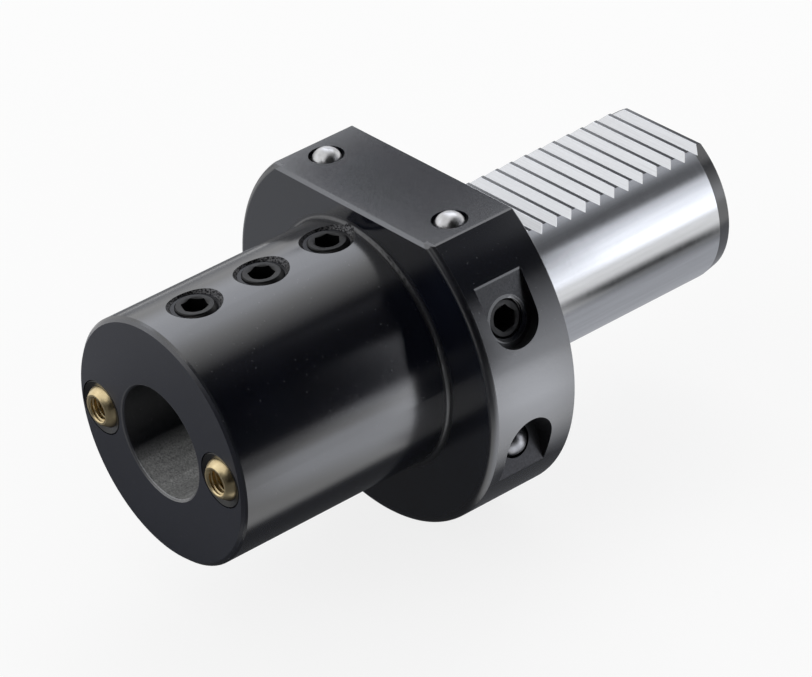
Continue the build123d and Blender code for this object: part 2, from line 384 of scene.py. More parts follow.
def threaded_rod(name, root, crest, pitch, low, high, steps=48):
    """Closed rod with an outside thread along Z. The thread's root is at Z 0 on the X axis."""
    turns_down = int(-low / pitch) + 2
    turns = turns_down + int(high / pitch) + 2
    clear_selection()
    bpy.ops.mesh.primitive_plane_add(
        size=pitch, location=(root - pitch / 2, 0, pitch / 2 - turns_down * pitch), rotation=(pi / 2, 0, 0)
    )
    piece = new_piece(name)
    bpy.ops.object.transform_apply(location=True, rotation=True)
    choose_points(piece, lambda co: co.x < root - pitch / 2)
    bpy.ops.mesh.delete(type="VERT")
    bpy.ops.mesh.select_all(action="SELECT")
    bpy.ops.mesh.subdivide(number_cuts=4)
    leave_edit()
    base = -turns_down * pitch
    for share, place, height in THREAD_PROFILE:
        choose_points(piece, lambda co: abs(co.z - base - share * pitch) < 0.02 * pitch)
        bpy.ops.transform.translate(value=((crest - root) * height, 0, (place - share) * pitch))
        leave_edit()
    apply_modifier(
        piece,
        "SCREW",
        "Helix",
        axis="Z",
        angle=2 * pi,
        screw_offset=pitch,
        iterations=turns,
        steps=steps,
        render_steps=steps,
    )
    choose_points(piece, lambda co: True)
    bpy.ops.mesh.remove_doubles(threshold=pitch * 0.002)
    for height, outer in ((high, True), (low, False)):
        bpy.ops.mesh.select_all(action="SELECT")
        bpy.ops.mesh.bisect(
            plane_co=(0, 0, height),
            plane_no=(0, 0, 1),
            use_fill=True,
            clear_outer=outer,
            clear_inner=not outer,
        )
    bpy.ops.mesh.select_all(action="SELECT")
    bpy.ops.mesh.normals_make_consistent(inside=False)
    leave_edit()
    return piece


def threaded_screw(name, radius, length, pitch, ends, steps=48):
    """Headless screw with its thread, still without a socket."""
    crown_share, tip_share = ends
    screw = screw_blank(name, radius, length, crown_share * radius, tip_share * radius)
    root = radius - THREAD_DEPTH * pitch
    spare = 0.0005
    thread = threaded_rod("thread", root, radius - CREST_GAP, pitch, -length - spare, spare, steps)
    combine(screw, thread, "INTERSECT")
    return screw


def tapped_sleeve(name, radius, root, pitch, reach, tap_reach, steps=48):
    """Thin sleeve with an inside thread, which lines a plain hole over its reach along Z."""
    sleeve = rod(name, radius + SLEEVE_OVERLAP, *reach, sides=96)
    tap = threaded_rod("tap", root, radius + TAP_CREST_GAP, pitch, *tap_reach, steps)
    combine(sleeve, tap, "DIFFERENCE")
    return sleeve


def key_cutter(name, flats, depth, turn):
    """Hexagon key with a pointed end and a wide shallow mouth, to cut a socket down from Z 0."""
    corner = flats / 2 / cos(pi / 6)
    spare = flats / 4
    clear_selection()
    bpy.ops.mesh.primitive_cylinder_add(
        vertices=6,
        radius=corner,
        depth=depth + spare,
        location=(0, 0, (spare - depth) / 2),
        rotation=(0, 0, turn),
    )
    piece = new_piece(name)
    bpy.ops.object.transform_apply(location=True, rotation=True)
    choose_faces(piece, lambda centre, normal: normal.z < -0.9)
    bpy.ops.mesh.extrude_region_move(TRANSFORM_OT_translate={"value": (0, 0, -flats / 4)})
    bpy.ops.mesh.merge(type="CENTER")
    leave_edit()
    clear_selection()
    bpy.ops.mesh.primitive_cone_add(
        vertices=48,
        radius1=corner * 0.8,
        radius2=corner * 1.25,
        depth=corner * 0.26,
        location=(0, 0, corner * 0.02),
    )
    mouth = new_piece("socket_mouth")
    bpy.ops.object.transform_apply(location=True)
    combine(piece, mouth, "UNION")
    return piece


def finish_piece(piece, body, slot, material, *nodes):
    """Smooths a finished piece, gives it its material, and lets it ride on its body."""
    smooth(piece)
    piece.data.materials.clear()
    piece.data.materials.append(material)
    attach(piece, body)
    if nodes:
        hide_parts(*nodes)


# Nodes of the procedural finishes


class Finish:
    """A material that is built up from small steps on its one shader."""

    def __init__(self, name, **settings):
        self.material = bpy.data.materials.new(name)
        self.material.use_nodes = True
        self.tree = self.material.node_tree
        self.shader = self.tree.nodes["Principled BSDF"]
        self.bumps = None
        self.place = self.add("ShaderNodeTexCoord").outputs["Object"]
        self.axes = self.add("ShaderNodeSeparateXYZ", Vector=self.place)
        for key, value in settings.items():
            self.put(self.shader.inputs[key.replace("_", " ")], value)

    def put(self, socket, value):
        """Links a socket, or sets its value."""
        if isinstance(value, bpy.types.NodeSocket):
            self.tree.links.new(value, socket)
        elif socket.type == "RGBA" and len(value) == 3:
            socket.default_value = (*value, 1)
        else:
            socket.default_value = value

    def add(self, kind, settings=None, **inputs):
        """Adds a node with these settings and inputs."""
        node = self.tree.nodes.new(kind)
        for key, value in (settings or {}).items():
            setattr(node, key, value)
        for key, value in inputs.items():
            self.put(node.inputs[key], value)
        return node

    def math(self, operation, *values):
        """Result of one calculation on numbers."""
        node = self.tree.nodes.new("ShaderNodeMath")
        node.operation = operation
        for socket, value in zip(node.inputs, values):
            self.put(socket, value)
        return node.outputs[0]

    def above(self, value, limit):
        """Share that is 1 above a limit."""
        return self.math("GREATER_THAN", value, limit)

    def below(self, value, limit):
        """Share that is 1 below a limit."""
        return self.math("LESS_THAN", value, limit)

    def within(self, value, low, high):
        """Share that is 1 between two limits."""
        return self.both(self.above(value, low), self.below(value, high))

    def both(self, first, second):
        """Share where two shares meet."""
        return self.math("MULTIPLY", first, second)

    def either(self, first, second):
        """Share where one of two shares is."""
        return self.math("MAXIMUM", first, second)

    def along(self, direction):
        """Distance along a direction."""
        node = self.add("ShaderNodeVectorMath", {"operation": "DOT_PRODUCT"})
        self.put(node.inputs[0], self.place)
        self.put(node.inputs[1], direction)
        return node.outputs["Value"]

    def from_axis(self):
        """Distance from the holder's own axis."""
        return self.length(self.axes.outputs["X"], self.axes.outputs["Z"])

    def length(self, first, second):
        """Straight distance from two lengths at right angles."""
        squares = self.math("ADD", self.math("POWER", first, 2.0), self.math("POWER", second, 2.0))
        return self.math("SQRT", squares)

    def countersinks(self, x, y, z):
        """Share that is 1 on the countersinks of the three clamp holes."""
        found = 0.0
        for row in CLAMP_ROWS:
            away = self.math("SUBTRACT", y, middle(f"clamp_screw_{row}").y)
            ring = self.length(x, away)
            cone = self.below(self.math("SUBTRACT", ring, z), SINK_CONE)
            found = self.either(found, self.both(cone, self.below(ring, SINK_R)))
        return self.both(found, self.above(z, SINK_LOW_Z))

    def noise(self, scale, stretch=(1, 1, 1), detail=4.0):
        """Noise with so many features to the metre, stretched along the axes."""
        mapped = self.add("ShaderNodeMapping", Vector=self.place, Scale=stretch)
        node = self.add("ShaderNodeTexNoise", Vector=mapped.outputs[0], Scale=scale, Detail=detail)
        return node.outputs["Fac"]

    def span(self, value, low, high, start, end):
        """Maps a value from one range onto another, held at its ends."""
        node = self.add("ShaderNodeMapRange")
        for key, number in (("From Min", low), ("From Max", high), ("To Min", start), ("To Max", end)):
            self.put(node.inputs[key], number)
        self.put(node.inputs["Value"], value)
        return node.outputs[0]

    def blend(self, share, first, second):
        """Colour between two colours."""
        node = self.tree.nodes.new("ShaderNodeMix")
        node.data_type = "RGBA"
        self.put(node.inputs["Factor"], share)
        self.put(node.inputs[6], first)
        self.put(node.inputs[7], second)
        return node.outputs[2]

    def between(self, share, first, second):
        """Number between two numbers."""
        node = self.tree.nodes.new("ShaderNodeMix")
        self.put(node.inputs["Factor"], share)
        self.put(node.inputs[2], first)
        self.put(node.inputs[3], second)
        return node.outputs[0]

    def bump(self, height, depth):
        """Adds relief of this depth in metres."""
        node = self.add("ShaderNodeBump", Height=height, Distance=depth)
        if self.bumps:
            self.put(node.inputs["Normal"], self.bumps)
        self.bumps = node.outputs[0]
        self.put(self.shader.inputs["Normal"], self.bumps)

    def set(self, **sockets):
        """Links or sets sockets of the shader."""
        for key, value in sockets.items():
            self.put(self.shader.inputs[key.replace("_", " ")], value)


def times(colour, share):
    """Lighter or darker version of a colour."""
    return [channel * share for channel in colour]


def body_areas(made):
    """Shares that are 1 on the body's areas with a finish of their own."""
    x, y, z = (made.axes.outputs[axis] for axis in "XYZ")
    radius = made.from_axis()

    # The ground shank stays black on its lead and on the rack's lands
    shank = made.both(made.within(y, *SHANK_Y), made.within(radius, *SHANK_R))
    taper = made.math("MULTIPLY", made.math("SUBTRACT", y, LEAD_START_Y), LEAD_SLOPE)
    lead = made.both(made.above(taper, 0.0), made.above(made.math("ADD", radius, taper), LEAD_R))
    phase = made.math("MODULO", made.math("SUBTRACT", y, RACK_START_Y), RACK_PITCH)
    land = made.either(made.above(phase, LAND_START), made.below(y, RACK_START_Y))
    land = made.both(made.above(z, LAND_Z), land)
    bright = made.both(shank, made.math("SUBTRACT", 1.0, made.either(land, lead)))

    # The lower pocket's floor runs out to the rim, so its outer strip is found by its height
    ledge = made.within(made.along((cos(POCKET_TILT), 0, sin(POCKET_TILT))), *POCKET_LEDGE)
    pocket = made.both(made.within(y, *POCKET_Y), made.either(made.below(radius, POCKET_R), ledge))

    return {
        "bright": bright,
        "tooth": made.both(bright, made.below(radius, TOOTH_R)),
        "bore": made.both(made.below(radius, BORE_R), made.below(y, BORE_END_Y)),
        "mouth": made.both(made.below(y, MOUTH_END_Y), made.within(radius, *MOUTH_R)),
        "face": made.below(y, FACE_END_Y),
        "pocket": made.both(pocket, made.above(x, POCKET_X)),
        "root": made.both(made.within(y, *ROOT_Y), made.below(radius, ROOT_R)),
        "rim_round": made.both(made.within(y, *RIM_ROUND_Y), made.above(radius, RIM_ROUND_R)),
        "sink": made.countersinks(x, y, z),
    }


def body_finish(colours):
    """Satin black oxide, with a ground shank and tooth flanks cut by milling. Painted light: a pool of light
    on the bar seat and a highlight on the bore's mouth edge; painted shade on the pockets and countersinks.
    """
    made = Finish("black_oxide_and_ground_shank", IOR=2.0)
    x, y, z = (made.axes.outputs[axis] for axis in "XYZ")
    areas = body_areas(made)
    bright, tooth, bore = areas["bright"], areas["tooth"], areas["bore"]
    pocket, sink = areas["pocket"], areas["sink"]

    cloud = made.noise(60, detail=3)
    grain = made.noise(2600, detail=5)
    fine = made.noise(9000, detail=2)
    specks = made.span(made.noise(1500, detail=1), 0.735, 0.76, 0.0, 1.0)
    rings = made.noise(120, stretch=(1, 60, 1), detail=3)
    streaks = made.noise(70, stretch=(12, 0.6, 12), detail=3)
    mill = made.noise(300, stretch=(0.25, 12, 12), detail=4)

    oxide = colours.oxide
    dark = made.blend(made.span(cloud, 0.35, 0.65, 0, 1), times(oxide, 0.8), times(oxide, 1.25))
    dark = made.blend(made.both(specks, 0.3), dark, WORN_SPECK)
    # Painted light: a pool of light on the bore's lower wall, dimmer near the mouth, where lamp light falls
    # in
    seat = made.both(made.span(z, *SEAT_Z, 0, 1), made.span(grain, 0.3, 0.65, 0.4, 1))
    seat = made.both(seat, made.span(streaks, 0.3, 0.7, 0.6, 1))
    seat = made.both(seat, made.span(y, *SEAT_Y, 0.6, 1))
    dark = made.blend(made.both(bore, seat), dark, colours.bore_painted_light)
    dark = made.blend(made.both(areas["face"], 0.5), dark, FACE_TINT)
    # Painted highlight on the bore's mouth chamfer
    dark = made.blend(areas["mouth"], dark, MOUTH_PAINTED_HIGHLIGHT)
    # Milled pocket floors with random grain and painted shade, darker in the lower pocket than the upper
    milled_and_shaded = made.blend(made.above(z, 0.0), LOWER_POCKET_SHADE, UPPER_POCKET_SHADE)
    milled_and_shaded = made.blend(made.span(grain, 0.3, 0.7, 0, 0.3), milled_and_shaded, POCKET_GRAIN)
    dark = made.blend(pocket, dark, milled_and_shaded)
    # Painted shade: the countersinks are coloured near black, with lighter random grain
    turned = made.blend(made.span(grain, 0.42, 0.62, 0, 1), SINK_SHADE, SINK_LIGHT)
    dark = made.blend(sink, dark, turned)

    steel, cut = colours.ground_steel, colours.cut_steel
    light = made.blend(made.span(streaks, 0.3, 0.7, 0, 1), times(steel, 0.9), steel)
    flank = made.blend(made.span(mill, 0.3, 0.7, 0, 1), times(cut, 0.84), cut)
    light = made.blend(tooth, light, flank)
    metal = made.either(bright, made.either(pocket, sink))
    made.set(Base_Color=made.blend(bright, dark, light), Metallic=metal)

    satin = made.span(grain, 0.3, 0.7, 0.15, 0.21)
    satin = made.between(areas["face"], satin, made.span(grain, 0.3, 0.7, 0.28, 0.36))
    rough = made.either(made.either(bore, pocket), made.either(areas["root"], sink))
    satin = made.between(rough, satin, made.span(grain, 0.3, 0.7, 0.36, 0.5))
    satin = made.between(areas["rim_round"], satin, 0.32)
    ground = made.span(rings, 0.3, 0.7, 0.13, 0.21)
    polished = made.between(tooth, ground, made.span(mill, 0.3, 0.7, 0.34, 0.46))
    made.set(Roughness=made.between(bright, satin, polished))

    made.bump(grain, 0.0000022)
    made.bump(made.both(fine, made.math("SUBTRACT", 1.0, bright)), 0.0000007)
    made.bump(made.both(rings, made.math("SUBTRACT", bright, tooth)), 0.000004)
    made.bump(made.both(mill, tooth), 0.000006)
    return made.material


def screw_finish(name, colours, axis, crown, ior):
    """Black oxide screw whose end face is rubbed grey, above this height along its axis."""
    made = Finish(name, IOR=ior)
    top = made.above(made.along(axis), crown - CROWN_LAYER)
    grain = made.noise(3500, detail=4)
    rub = made.noise(1200, detail=5)
    oxide, rubbed = colours.screw_oxide, colours.screw_crown
    black = made.blend(made.span(grain, 0.3, 0.7, 0, 1), times(oxide, 0.7), oxide)
    grey = made.blend(made.span(rub, 0.42, 0.62, 0, 1), times(rubbed, 0.3), times(rubbed, 3))
    satin = made.span(grain, 0.3, 0.7, 0.3, 0.42)
    worn = made.span(rub, 0.3, 0.7, 0.38, 0.52)
    made.set(Base_Color=made.blend(top, black, grey), Roughness=made.between(top, satin, worn))
    made.bump(grain, 0.000004)
    made.bump(made.both(rub, top), 0.000006)
    return made.material


def dark_thread_finish(name, colours, ior):
    """Blackened tapped thread, a little oily."""
    made = Finish(name, IOR=ior)
    grain = made.noise(3000, detail=4)
    made.set(
        Base_Color=made.blend(grain, times(colours.oxide, 0.6), times(colours.oxide, 1.6)),
        Roughness=made.span(grain, 0.3, 0.7, 0.18, 0.28),
    )
    made.bump(grain, 0.000003)
    return made.material


def ring_finish(colours):
    """Turned black ring that holds a nozzle ball."""
    made = Finish("nozzle_ring_oxide", IOR=1.5)
    grain = made.noise(3800, detail=4)
    cloud = made.noise(400, detail=2)
    made.set(
        Base_Color=made.blend(cloud, times(colours.screw_oxide, 0.8), times(colours.screw_oxide, 1.6)),
        Roughness=made.span(grain, 0.3, 0.7, 0.27, 0.38),
    )
    made.bump(grain, 0.000003)
    return made.material


def brass_finish(colours):
    """Turned brass, slightly tarnished in patches."""
    made = Finish("turned_brass", Metallic=1.0)
    cloud = made.noise(350, detail=3)
    turned = made.noise(700, stretch=(1, 14, 1), detail=2)
    made.set(
        Base_Color=made.blend(made.span(cloud, 0.45, 0.7, 0, 0.35), colours.brass, TARNISH),
        Roughness=made.span(turned, 0.3, 0.7, 0.28, 0.38),
    )
    made.bump(turned, 0.0000015)
    return made.material


def ball_finish(name, colour):
    """Ground and lapped steel ball, with light press marks."""
    made = Finish(name, Metallic=1.0)
    cloud = made.noise(500, detail=3)
    marks = made.noise(1500, detail=3)
    made.set(
        Base_Color=made.blend(made.span(cloud, 0.35, 0.7, 0, 1), colour, times(colour, 0.75)),
        Roughness=made.span(marks, 0.35, 0.7, 0.28, 0.4),
    )
    made.bump(marks, 0.000002)
    return made.material


def rubber_finish(colours):
    """Moulded rubber ring."""
    made = Finish("moulded_rubber")
    grain = made.noise(2500, detail=4)
    made.set(
        Base_Color=made.blend(grain, times(colours.rubber, 0.8), times(colours.rubber, 1.4)),
        Roughness=made.span(grain, 0.3, 0.7, 0.5, 0.62),
    )
    made.bump(grain, 0.000006)
    return made.material


def dress(material, *nodes):
    """Gives CAD nodes a finish."""
    for name in nodes:
        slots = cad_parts[name].data.materials
        slots.clear()
        slots.append(material)


# Operators, one for each piece or group of like pieces


class HOLDER_OT_body(bpy.types.Operator):
    """Gives the holder's body its black oxide and its ground shank"""

    bl_idname = "holder.body"
    bl_label = "Finish Body"

    def execute(self, context):
        dress(body_finish(context.scene.holder_colours), "holder_body")
        return {"FINISHED"}


class HOLDER_OT_clamp_screws(bpy.types.Operator):
    """Cuts threads and sockets in the three clamp screws"""

    bl_idname = "holder.clamp_screws"
    bl_label = "Make Clamp Screws"

    def execute(self, context):
        sizes, colours = context.scene.holder_sizes, context.scene.holder_colours
        length = screw_high.z - screw_low.z
        material = screw_finish("clamp_screw_oxide", colours, UP, CLAMP_CROWN_Z, 1.36)
        screw = threaded_screw("clamp_screw", CLAMP_R, length, sizes.clamp_pitch, CLAMP_ENDS)
        for row, turn in zip(CLAMP_ROWS, sizes.clamp_turns):
            piece = copy_of(screw, f"threaded_clamp_screw_{row}")
            combine(piece, key_cutter("key", sizes.clamp_flats, CLAMP_SOCKET, turn), "DIFFERENCE")
            place = middle(f"clamp_screw_{row}")
            send_to(piece, UP, (place.x, place.y, CLAMP_CROWN_Z))
            finish_piece(piece, f"{row}_clamp", "screw_steel", material, f"clamp_screw_{row}")
        bpy.data.objects.remove(screw)
        return {"FINISHED"}


class HOLDER_OT_tapped_holes(bpy.types.Operator):
    """Adds the inside threads of the three clamp holes"""

    bl_idname = "holder.tapped_holes"
    bl_label = "Make Tapped Holes"

    def execute(self, context):
        sizes = context.scene.holder_sizes
        material = dark_thread_finish("clamp_hole_oxide", context.scene.holder_colours, 1.3)
        root = CLAMP_R - THREAD_DEPTH * sizes.clamp_pitch + 1.5 * sizes.thread_play
        drop = CLAMP_CROWN_Z - CLAMP_THREAD_FLOOR_Z
        reach, tap_reach = (-drop, -CLAMP_THREAD_DROP), (-drop - TAP_OVERRUN, TAP_OVERRUN)
        sleeve = tapped_sleeve("clamp_nut", CLAMP_R, root, sizes.clamp_pitch, reach, tap_reach)
        for row in CLAMP_ROWS:
            piece = copy_of(sleeve, f"clamp_hole_thread_{row}")
            place = middle(f"clamp_screw_{row}")
            send_to(piece, UP, (place.x, place.y, CLAMP_CROWN_Z))
            finish_piece(piece, "holder", "black_oxide_steel", material)
        bpy.data.objects.remove(sleeve)
        return {"FINISHED"}


class HOLDER_OT_stop_screw(bpy.types.Operator):
    """Cuts the thread and socket of the stop screw, and the thread of its hole"""

    bl_idname = "holder.stop_screw"
    bl_label = "Make Stop Screw"

    def execute(self, context):
        sizes, colours = context.scene.holder_sizes, context.scene.holder_colours
        length = stop_high.y - stop_low.y
        radius = (stop_high.x - stop_low.x) / 2
        pitch = sizes.stop_pitch
        axis, point = (0, 1, 0), (0, stop_high.y, 0)
        screw = threaded_screw("threaded_stop_screw", radius, length, pitch, STOP_ENDS, steps=64)
        combine(screw, key_cutter("key", sizes.stop_flats, STOP_SOCKET, 0.0), "DIFFERENCE")
        send_to(screw, axis, point)
        material = screw_finish("stop_screw_oxide", colours, axis, stop_high.y, 1.5)
        finish_piece(screw, "stop", "screw_steel", material, "stop_screw")

        root = radius - THREAD_DEPTH * pitch + 1.5 * sizes.thread_play
        low, high = TAIL_THREAD_FLOOR_Y - stop_high.y, SHANK_END_Y - stop_high.y - TAIL_CHAMFER
        tap_reach = (low - TAP_OVERRUN, high + TAP_OVERRUN)
        sleeve = tapped_sleeve("tail_hole_thread", radius, root, pitch, (low, high), tap_reach, steps=64)
        send_to(sleeve, axis, point)
        material = dark_thread_finish("tail_hole_oxide", colours, 1.6)
        finish_piece(sleeve, "holder", "black_oxide_steel", material)
        return {"FINISHED"}


class HOLDER_OT_plug_screw(bpy.types.Operator):
    """Cuts the thread and socket of the plug screw in the upper rim pocket"""

    bl_idname = "holder.plug_screw"
    bl_label = "Make Plug Screw"

    def execute(self, context):
        sizes, colours = context.scene.holder_sizes, context.scene.holder_colours
        low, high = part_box("side_plug_screw")
        radius = (high.y - low.y) / 2
        pitch = sizes.plug_pitch
        axis = Vector((cos(PLUG_TILT), 0, sin(PLUG_TILT)))
        heights = [axis.dot(point.co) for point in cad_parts["side_plug_screw"].data.vertices]
        length = max(heights) - min(heights)
        crown = middle("side_plug_screw")
        crown += axis * (max(heights) - crown.dot(axis))
        screw = threaded_screw("threaded_side_plug", radius, length, pitch, PLUG_ENDS)
        combine(screw, key_cutter("key", sizes.plug_flats, PLUG_SOCKET, sizes.plug_turn), "DIFFERENCE")
        send_to(screw, axis, crown)
        material = screw_finish("plug_screw_oxide", colours, axis, crown.dot(axis), 1.5)
        finish_piece(screw, "holder", "screw_steel", material, "side_plug_screw")

        root = radius - THREAD_DEPTH * pitch + 1.5 * sizes.thread_play
        reach = (-length - PLUG_THREAD_BELOW, PLUG_THREAD_ABOVE)
        tap_reach = (-length - PLUG_TAP_BELOW, PLUG_TAP_ABOVE)
        sleeve = tapped_sleeve("plug_hole_thread", radius, root, pitch, reach, tap_reach)
        send_to(sleeve, axis, crown)
        material = dark_thread_finish("plug_hole_oxide", colours, 2.0)
        finish_piece(sleeve, "holder", "black_oxide_steel", material)
        return {"FINISHED"}


class HOLDER_OT_nozzle_balls(bpy.types.Operator):
    """Turns the two brass nozzle balls and taps them"""

    bl_idname = "holder.nozzle_balls"
    bl_label = "Make Nozzle Balls"

    def execute(self, context):
        sizes = context.scene.holder_sizes
        material = brass_finish(context.scene.holder_colours)
        low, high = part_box("nozzle_ball_left")
        radius = (high.x - low.x) / 2
        nose = NOZZLE_Y - low.y
        clear_selection()
        bpy.ops.mesh.primitive_uv_sphere_add(segments=96, ring_count=64, radius=radius)
        ball = new_piece("nozzle_ball")
        choose_points(ball, lambda co: True)
        bpy.ops.mesh.bisect(plane_co=(0, 0, nose), plane_no=(0, 0, 1), use_fill=True, clear_outer=True)
        leave_edit()
        choose_edges(ball, lambda co: co.z > nose - 1e-7)
        bpy.ops.mesh.bevel(offset=NOZZLE_EDGE_ROUND, segments=2)
        leave_edit()
        crest = NOZZLE_MOUTH_R + NOZZLE_THREAD_DEPTH
        low, high = nose - NOZZLE_TAP_LENGTH, nose + TAP_OVERRUN
        tap = threaded_rod("nozzle_tap", NOZZLE_MOUTH_R, crest, sizes.nozzle_pitch, low, high)
        combine(ball, tap, "DIFFERENCE")
        combine(ball, rod("nozzle_drill", sizes.nozzle_outlet_radius, -2 * radius, nose), "DIFFERENCE")
        rim = sizes.nozzle_mouth_chamfer
        clear_selection()
        bpy.ops.mesh.primitive_cone_add(
            vertices=96,
            radius1=NOZZLE_MOUTH_R - rim,
            radius2=NOZZLE_MOUTH_R + 2 * rim,
            depth=3 * rim,
            location=(0, 0, nose - rim / 2),
        )
        cone = new_piece("nozzle_countersink")
        bpy.ops.object.transform_apply(location=True)
        combine(ball, cone, "DIFFERENCE")
        for side in ("left", "right"):
            piece = copy_of(ball, f"tapped_nozzle_ball_{side}")
            low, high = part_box(f"nozzle_ball_{side}")
            send_to(piece, (0, -1, 0), ((low.x + high.x) / 2, NOZZLE_Y, (low.z + high.z) / 2))
            finish_piece(piece, f"{side}_nozzle", "nozzle_brass", material, f"nozzle_ball_{side}")
        bpy.data.objects.remove(ball)
        return {"FINISHED"}


class HOLDER_OT_small_parts(bpy.types.Operator):
    """Gives the rings, pressed balls and seals their finishes"""

    bl_idname = "holder.small_parts"
    bl_label = "Finish Small Parts"

    def execute(self, context):
        colours = context.scene.holder_colours
        dress(ring_finish(colours), "nozzle_ring_left", "nozzle_ring_right")
        bright_ball = ball_finish("lapped_ball_steel", colours.ball_steel)
        dress(bright_ball, "flat_sealing_ball_left", "flat_sealing_ball_right")
        # The rim pocket's ball gets a darker copy of the ball steel, as painted shade
        dress(ball_finish("shaded_ball_steel", colours.shaded_ball_steel), "side_sealing_ball")
        dress(rubber_finish(colours), "nozzle_seal_left", "nozzle_seal_right", "shank_seal_ring")
        return {"FINISHED"}


def seen_share(tree):
    """Share that is 1 for rays that show the background: from the camera, off gloss or through glass."""
    path = tree.nodes.new("ShaderNodeLightPath")
    total = path.outputs["Is Camera Ray"]
    for ray in ("Is Glossy Ray", "Is Transmission Ray"):
        node = tree.nodes.new("ShaderNodeMath")
        node.operation = "MAXIMUM"
        tree.links.new(total, node.inputs[0])
        tree.links.new(path.outputs[ray], node.inputs[1])
        total = node.outputs[0]
    return total


def aim(item, place, target, roll=0.0):
    """Puts a lamp or a camera in its place, facing a target along its own -Z."""
    item.location = place
    item.rotation_mode = "QUATERNION"
    look = (Vector(target) - Vector(place)).to_track_quat("-Z", "Y")
    item.rotation_quaternion = look @ Quaternion((0, 0, 1), roll)


# Strength of the world on the piece, share of the floor that is plain white, and the cards' colour
SKY_LIGHT = 0.55
FLOOR_GLOW = 0.83
CARD_TINT = (0.96, 0.985, 1.05, 1)

# Cards and flags: name, centre, two half sides, level, soft share of each side. They only show in
# reflections. Those 0.2 to 0.5 mm above the floor darken or lighten what the steel reflects of it.
CARDS = (
    ("top_box", (-0.54, 0.532, 0.648), (0.43, -0.016, 0.328), (0.137, 0.338, -0.163), 1.95, (0.3, 0.1)),
    ("side_flag", (0.15, -0.1155, 0.2775), (0, 0.1645, 0), (0, 0, 0.3225), 0.0, (0.01, 0.06)),
    ("rim_flag", (0.15, 0.0795, 0.1775), (0, 0.0305, 0), (0, 0, 0.2225), 0.02, (0, 0.303)),
    ("shank_flag", (0.15, 0.235, 0.2025), (0, 0.125, 0), (0, 0, 0.1975), 0.13, (0, 0.316)),
    ("side_shade", (0.19, -0.01, -0.0412), (0.075, 0.04, 0), (-0.02, 0.038, 0), 0.2, (0.3, 0.3)),
    ("tooth_glow", (0.0475, 0.095, 0.09), (0.0375, 0, 0), (0, 0.06, 0), 0.55, (0.45, 0.15)),
    ("ceiling_flag", (0.71, 0.45, 0.7), (0.79, 0, 0), (0, 0.55, 0), 0.0, (0.215, 0)),
    ("front_flag", (0.55, -0.7, 0.25), (0.65, 0, 0), (0, 0, 0.29), 0.05, (0, 0)),
    ("camera_box", (0.45, -0.5, 0.78), (0.095, 0.089, 0), (-0.067, 0.071, 0.086), 2.5, (0.2, 0.2)),
    ("rim_box", (0.18, 0.071, 0.035), (0, 0.034, 0), (0, 0, 0.09), 2.2, (0.05, 0.15)),
    ("shank_box", (0.18, 0.2, 0.0375), (0, 0.095, 0), (0, 0, 0.0875), 1.85, (0, 0.15)),
    ("flat_flag", (-0.1, 0.1525, 0.1075), (0, 0.107, 0), (0, 0.0267, 0.0275), 0.26, (0.03, 0.06)),
    ("flat_edge_box", (-0.47, -0.38, 0.38), (0.06, -0.08, 0), (0.045, 0.034, 0.0955), 1.7, (0.2, 0.2)),
    ("screw_shade", (-0.12, -0.045, 0.03), (0, 0.03, 0), (0, 0, 0.016), 0.1, (0.1, 0.15)),
    ("horizon_flag", (-0.55, 0.3, -0.02), (0.215, 0.395, 0), (0, 0, 0.13), 0.4, (0.05, 0.35)),
    ("left_shade", (-0.23, 0.07, -0.0412), (0.13, 0, 0), (0, 0.09, 0), 0.22, (0.2, 0.2)),
    ("floor_bounce", (0.085, -0.01, -0.0411), (0.044, 0.024, 0), (-0.013, 0.0237, 0), 1.6, (0.25, 0.3)),
    ("rim_bounce", (0.1405, 0.0547, -0.041), (0.1025, 0.0547, 0), (-0.0106, 0.0199, 0), 3.1, (0.245, 0.4)),
    ("head_shade", (-0.024, -0.045, -0.0413), (0.06, 0, 0), (0, 0.065, 0), 0.07, (0.05, 0.05)),
    ("rim_shade", (0.0, 0.005, -0.04125), (0.055, 0, 0), (0, 0.02, 0), 0.12, (0.15, 0.15)),
    ("front_shade", (-0.065, -0.138, -0.0412), (0.1, 0, 0), (0, 0.057, 0), 0.15, (0.1, 0.1)),
    ("left_front_shade", (-0.13, -0.075, -0.04115), (0.05, 0, 0), (0, 0.055, 0), 0.4, (0.1, 0.1)),
    ("edge_shade", (0.252, -0.402, -0.0413), (0.12, 0.08, 0), (0.222, -0.317, 0), 0.1, (0.2, 0.015)),
    ("shank_shade", (-0.0125, 0.075, -0.0412), (0.0675, 0, 0), (0, 0.055, 0), 0.45, (0.05, 0.05)),
    ("shank_line", (0.064, 0.079, -0.0411), (0.026, 0, 0), (0, 0.05, 0), 0.02, (0.42, 0.35)),
)


